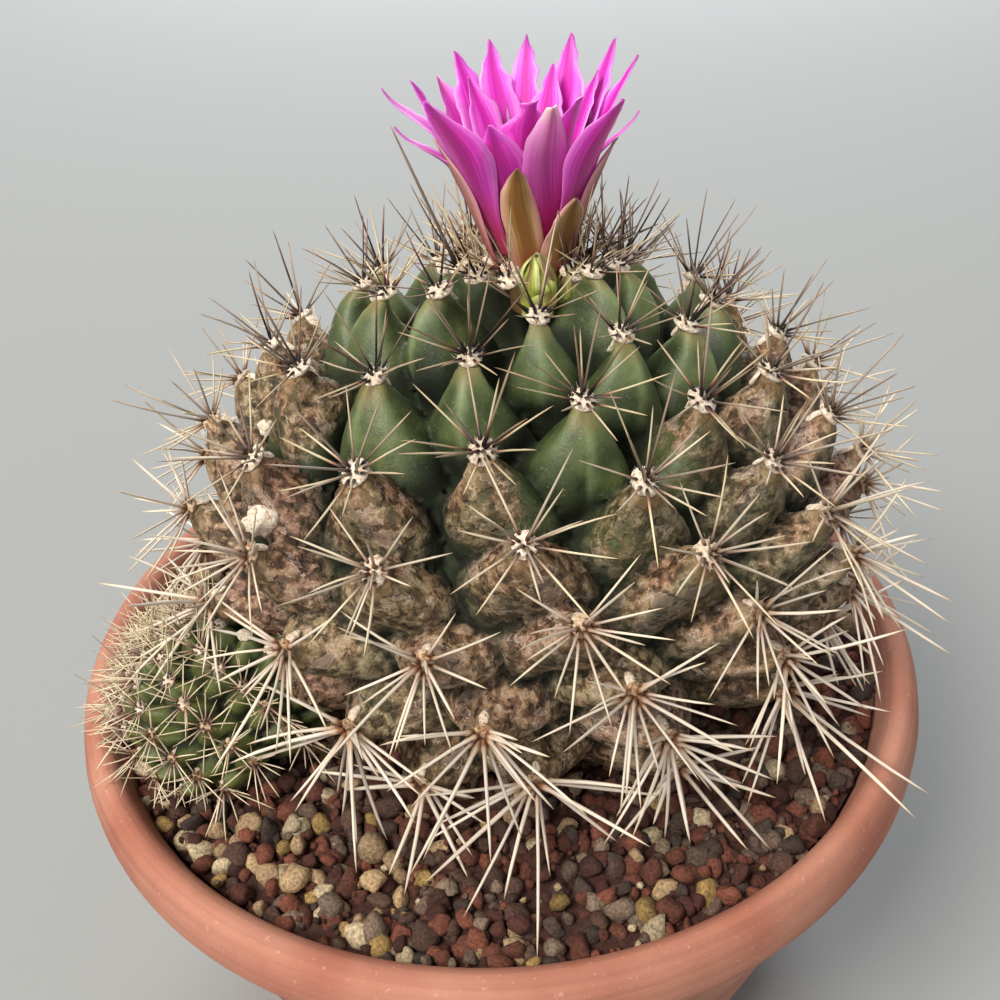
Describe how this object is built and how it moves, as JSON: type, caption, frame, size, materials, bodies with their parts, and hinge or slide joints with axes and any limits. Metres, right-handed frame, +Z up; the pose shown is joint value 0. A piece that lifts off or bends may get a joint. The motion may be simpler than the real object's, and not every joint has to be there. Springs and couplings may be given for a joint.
{
  "type": "potted thelocactus",
  "caption": "Ribbed globular cactus with blunt tubercles, long spines, a magenta funnel flower, a bud and a young offset, standing in grit in a round terracotta bowl pot.",
  "frame": {"origin": "centre of the pot's base, on the plane it stands on", "axes": "+Z up, -Y towards the viewer of the picture, +X to the viewer's right"},
  "size_m": [0.18, 0.18, 0.2057],
  "materials": {
    "terracotta": "matt unglazed fired clay",
    "grit": "rough lava and pumice grains",
    "stem_skin": "green skin with brown cork, matt",
    "offset_skin": "smooth green skin, satin",
    "flower_tube": "soft satin",
    "petals": "silky",
    "stamens": "powdery",
    "bud_scales": "soft satin"
  },
  "bodies": {
    "root": {"pot": "terracotta", "substrate": "grit", "stem": "stem_skin", "offset": "offset_skin", "bloom_tube": "flower_tube", "bloom_petals": "petals", "bloom_stamens": "stamens", "bud": "bud_scales"}
  },
  "joints": []
}
